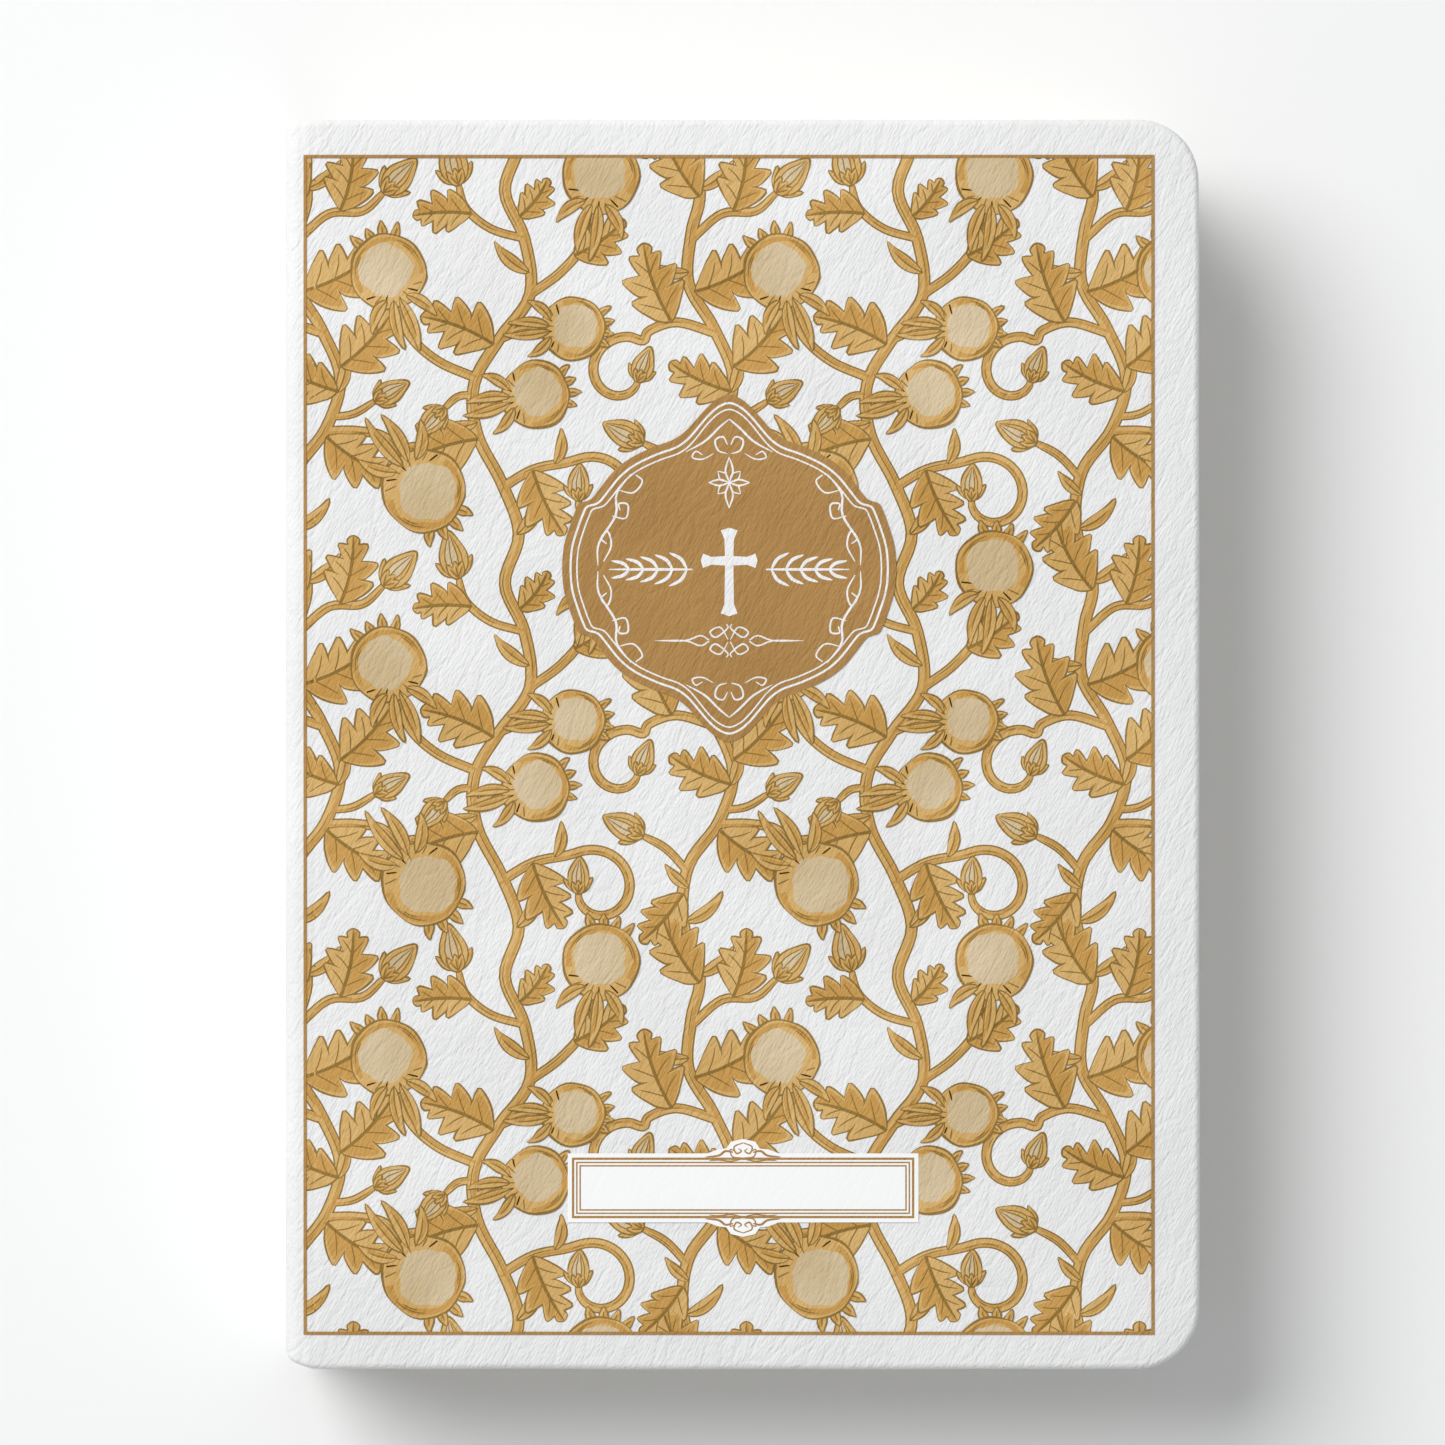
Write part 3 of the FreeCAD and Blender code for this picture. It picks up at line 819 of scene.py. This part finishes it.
def printed_page(name):
    """A page with two columns of small grey marks in lines, and a wide margin ruled for notes."""
    material = bpy.data.materials.new(name)
    tree, shader, add = node_tree(material)
    place = add("UVMap", uv_map="sheet")
    split = add("SeparateXYZ", [("Vector", place.outputs["UV"])])
    x, y = split.outputs["X"], split.outputs["Y"]
    pitch, rule_pitch = 3.1 * MM, 6.2 * MM
    row = maths(add, "FLOOR", maths(add, "DIVIDE", y, pitch))
    in_row = maths(add, "FRACT", maths(add, "DIVIDE", y, pitch))
    broken = []
    for along, down, detail in ((420, 7.31, 1), (2400, 3.7, 0)):
        across, below = maths(add, "MULTIPLY", x, along), maths(add, "MULTIPLY", row, down)
        spot = add("CombineXYZ", [("X", across), ("Y", below)])
        gaps = add("TexNoise", [("Vector", spot.outputs["Vector"])], noise_dimensions="2D", Scale=1)
        gaps.inputs["Detail"].default_value = detail
        broken.append(gaps.outputs["Fac"])
    words, strokes = broken
    columns = maths(add, "ADD", between(add, x, -58 * MM, -17.5 * MM), between(add, x, -13.5 * MM, 27 * MM))
    inside = maths(add, "MULTIPLY", columns, between(add, y, -95 * MM, 93 * MM))
    marks = maths(add, "MULTIPLY", between(add, in_row, 0.28, 0.72),
                  maths(add, "GREATER_THAN", words, 0.42))
    marks = maths(add, "MULTIPLY", marks, maths(add, "GREATER_THAN", strokes, 0.40))
    text = maths(add, "MULTIPLY", maths(add, "MULTIPLY", marks, inside), 0.72)
    in_rule = maths(add, "FRACT", maths(add, "DIVIDE", y, rule_pitch))
    margin = between(add, x, 34 * MM, 72 * MM)
    rules = maths(add, "MULTIPLY", maths(add, "LESS_THAN", in_rule, 0.045), margin)
    rules = maths(add, "MULTIPLY", maths(add, "MULTIPLY", rules, between(add, y, -95 * MM, 93 * MM)), 0.4)
    ink = maths(add, "MAXIMUM", text, rules)
    paper = add("MixRGB", [("Fac", ink)], Color1=(0.86, 0.83, 0.75, 1), Color2=(0.12, 0.10, 0.08, 1))
    tree.links.new(paper.outputs["Color"], shader.inputs["Base Color"])
    shader.inputs["Roughness"].default_value = 0.8
    return material


page_paper = fibrous("page_paper", (0.86, 0.83, 0.75), 0.05, 900, 0.01 * MM)
endpaper = fibrous("endpaper", (0.88, 0.85, 0.77), 0.06, 500, 0.02 * MM)
cut_edges = leaf_edges("cut_leaf_edges")
page_print = printed_page("printed_page")

# ---- the sewn sections ---------------------------------------------------------------------------
# Twelve stacks of folded sections. Each stack runs from its sewn folds to the fore edge and is cut
# closely near the fold, where it would arch up as it turns. The fore edge of the closed book is slightly
# hollow.
stacks = sorted((n for n in frame["nodes"] if n.startswith("sections_")), key=lambda n: -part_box(n)[0].z)
fold_low, fold_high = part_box("section_folds")
middle_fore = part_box(stacks[len(stacks) // 2])[1].x
outer_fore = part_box(stacks[0])[1].x
PAGE_CORNER = 8 * MM
FOLD_DEPTH = 1.1 * MM
fold_edge = fold_low.x + FOLD_DEPTH
ARCH = 30 * MM


def hollow(z):
    """How far the fore edge and the folds lie forward at a height, from nothing at mid thickness."""
    return (outer_fore - middle_fore) * ((z - MID_Z) / (fold_high.z - MID_Z)) ** 2


def sheet_block(name, low, high, radius, cuts):
    """A stack of leaves or one sheet: two round corners at the fore edge, points to bend by, a UV map."""
    sheet = block(name, low, high)
    pick(sheet, "EDGE", lambda e: all(v.x > 0 for v in edge_ends(sheet, e))
         and abs(edge_ends(sheet, e)[0].z - edge_ends(sheet, e)[1].z) > 1e-6)
    bpy.ops.mesh.bevel(offset=radius, segments=8)
    slice_across(sheet, 0, cuts)
    uv = sheet.data.uv_layers.active or sheet.data.uv_layers.new(name="sheet")
    uv.name = "sheet"
    for face in sheet.data.polygons:
        for corner in face.loop_indices:
            co = sheet.data.vertices[sheet.data.loops[corner].vertex_index].co
            flat = abs(face.normal.z) > 0.5
            uv.data[corner].uv = (co.x, co.y) if flat else (co.x + co.y, co.z)
    return sheet


for place, node in enumerate(stacks):
    low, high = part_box(node)
    stack = sheet_block("leaves_" + node[9:], (fold_edge, low.y, low.z), (middle_fore, high.y, high.z),
                        PAGE_CORNER, steps(fold_edge, fold_low.x + ARCH + 6 * MM, 1.6 * MM))
    for point in stack.data.vertices:
        reach = min(1, max(0, point.co.x / middle_fore))
        point.co.x += hollow(point.co.z) * reach + hollow(point.co.z) * (point.co.x < fold_low.x + 1.2 * MM)
    stack.data.materials.append(page_paper)
    stack.data.materials.append(cut_edges)
    stack.data.materials.append(page_print)
    at_opening = {len(stacks) // 2 - 1: -1, len(stacks) // 2: 1}.get(place, 0)
    for face in stack.data.polygons:
        side_on = abs(face.normal.z) < 0.5
        face.material_index = 1 if side_on else 2 if face.normal.z * at_opening > 0.5 else 0
    activate(stack)
    bpy.ops.object.shade_smooth_by_angle(angle=math.radians(40))
    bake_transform(stack)
    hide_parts(node)

# ---- the sewn folds ------------------------------------------------------------------------------
# The rounded backs of the folded sections, side by side down the spine where the thread holds them.
folds = frame["nodes"]["section_folds"]
fold_backs = bpy.data.objects.new("fold_backs", folds.data.copy())
bpy.context.scene.collection.objects.link(fold_backs)
pick(fold_backs, "VERT", lambda point: True)
bpy.ops.mesh.remove_doubles(threshold=1e-7)
bpy.ops.mesh.select_all(action="SELECT")
bpy.ops.mesh.bisect(plane_co=(fold_edge, 0, 0), plane_no=(1, 0, 0), clear_outer=True, use_fill=True)
activate(fold_backs)
fold_backs.data.materials.clear()
fold_backs.data.materials.append(page_paper)
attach(fold_backs, "spine")
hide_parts("section_folds")

# ---- the endpapers -------------------------------------------------------------------------------
# A heavier ivory sheet at each end: one half is glued over the board and the turned-in leather and
# runs through the joint, and the other half is the free leaf that lies next to it.
for end, facing in (("front", 1), ("back", -1)):
    paste_low, paste_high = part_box(end + "_pastedown")
    free_low, free_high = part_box(end + "_flyleaf")
    paste = sheet_block(end + "_endpaper_glued", (JOINT_X + 0.2 * MM, paste_low.y, paste_low.z), paste_high,
                        PAGE_CORNER, steps(JOINT_X, PLATE_X + 1 * MM, 0.5 * MM))
    free = sheet_block(end + "_endpaper_leaf", (JOINT_X + 0.3 * MM, free_low.y, free_low.z), free_high,
                       PAGE_CORNER, steps(JOINT_X, JOINT_X + 18 * MM, 1 * MM))
    for sheet, halves in ((paste, ("_pastedown", "_endpaper_fold")), (free, ("_flyleaf",))):
        sheet.data.materials.append(endpaper)
        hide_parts(*(end + half for half in halves))
    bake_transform(paste)
    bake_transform(free)

# ---- the spine's inner layers --------------------------------------------------------------------
# Card stiffens the spine's skin, kraft paper and open gauze are glued over the folds, and waxed
# thread crosses them. A woven bead finishes the folds at the head and the tail.
card = fibrous("grey_card", (0.42, 0.38, 0.31), 0.2, 700, 0.03 * MM, 0.9)
kraft = fibrous("kraft_paper", (0.45, 0.29, 0.15), 0.2, 900, 0.02 * MM, 0.9)
gauze = fibrous("gauze", (0.80, 0.77, 0.68), 0.35, 1400, 0.1 * MM, 0.9, (1, 1, 0.4))
waxed = fibrous("waxed_thread", (0.84, 0.80, 0.68), 0.2, 2500, 0.05 * MM, 0.6, (1, 1, 0.2))
inlay = bpy.data.objects.new("spine_card", frame["nodes"]["spine_inlay"].data.copy())
bpy.context.scene.collection.objects.link(inlay)
for point in inlay.data.vertices:
    point.co.y *= 1 - 4 * MM / HALF_HEIGHT
inlay.data.materials.clear()
inlay.data.materials.append(card)
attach(inlay, "spine")
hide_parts("spine_inlay")
for node, finish in (("front_cover_board", card), ("back_cover_board", card),
                     ("spine_lining", kraft), ("mull", gauze), ("sewing_thread", waxed)):
    frame["nodes"][node].data.materials.clear()
    frame["nodes"][node].data.materials.append(finish)

band_cloth = bpy.data.materials.new("endband_cloth")
tree, shader, add = node_tree(band_cloth)
place = add("TexCoord")
turns = add("TexWave", [("Vector", place.outputs["Object"])], wave_type="BANDS", bands_direction="Z",
            Scale=160, Distortion=0.6, Detail=1)
tone = add("ValToRGB", [("Fac", turns.outputs["Fac"])])
tone.color_ramp.elements[0].position, tone.color_ramp.elements[1].position = 0.42, 0.58
tone.color_ramp.elements[0].color = (0.42, 0.24, 0.07, 1)
tone.color_ramp.elements[1].color = (0.86, 0.82, 0.72, 1)
tree.links.new(tone.outputs["Color"], shader.inputs["Base Color"])
twist = add("TexWave", [("Vector", place.outputs["Object"])], wave_type="BANDS", bands_direction="Z",
            Scale=900)
bump = add("Bump", [("Height", twist.outputs["Fac"])], Strength=0.8, Distance=0.12 * MM)
tree.links.new(bump.outputs["Normal"], shader.inputs["Normal"])
shader.inputs["Roughness"].default_value = 0.7
for node in ("headband", "tailband"):
    frame["nodes"][node].data.materials.clear()
    frame["nodes"][node].data.materials.append(band_cloth)

# ---- the table, the light and the view ---------------------------------------------------------
# A white table top under a large soft window-like light from the head and the spine side.
TABLE = 8.0
bpy.ops.mesh.primitive_plane_add(size=TABLE, location=(0, 0, -0.3 * MM))
table_top = bpy.context.object
table_top.name = "table_top"
bpy.ops.object.transform_apply(location=True, rotation=True, scale=True)
table_white = bpy.data.materials.new("table_white")
tree, shader, add = node_tree(table_white)
shader.inputs["Base Color"].default_value = (0.95, 0.95, 0.95, 1)
shader.inputs["Roughness"].default_value = 0.9
shader.inputs["Specular IOR Level"].default_value = 0.1
facing = add("NewGeometry")
clear = add("BsdfTransparent")
either = add("MixShader", [(0, facing.outputs["Backfacing"]), (1, shader.outputs["BSDF"]),
                           (2, clear.outputs["BSDF"])])
tree.links.new(either.outputs["Shader"], tree.nodes["Material Output"].inputs["Surface"])
table_top.data.materials.append(table_white)

KEY_FROM = Vector((-0.62, 0.55, 1.0)).normalized() * 3
bpy.ops.object.light_add(type="AREA", location=KEY_FROM)
key = bpy.context.object
key.name = "window_light"
key.data.shape, key.data.size = "DISK", 2.05
key.data.energy = 71
key.rotation_euler = (-KEY_FROM).to_track_quat("-Z", "Y").to_euler()
sky = bpy.data.worlds.new("room")
bpy.context.scene.world = sky
sky.use_nodes = True
sky.node_tree.nodes["Background"].inputs["Color"].default_value = (0.97, 0.985, 1.0, 1)
sky.node_tree.nodes["Background"].inputs["Strength"].default_value = 0.41

SEEN_WIDTH = 259.6 * MM
CAMERA_HEIGHT = 1.6
bpy.ops.object.camera_add(location=(-3.4 * MM, 3.8 * MM, BOOK_TOP + CAMERA_HEIGHT))
camera = bpy.context.object
camera.data.lens = camera.data.sensor_width * CAMERA_HEIGHT / SEEN_WIDTH
camera.data.clip_start, camera.data.clip_end = 0.01, 50
bpy.context.scene.camera = camera
bpy.context.scene.view_settings.view_transform = "Standard"
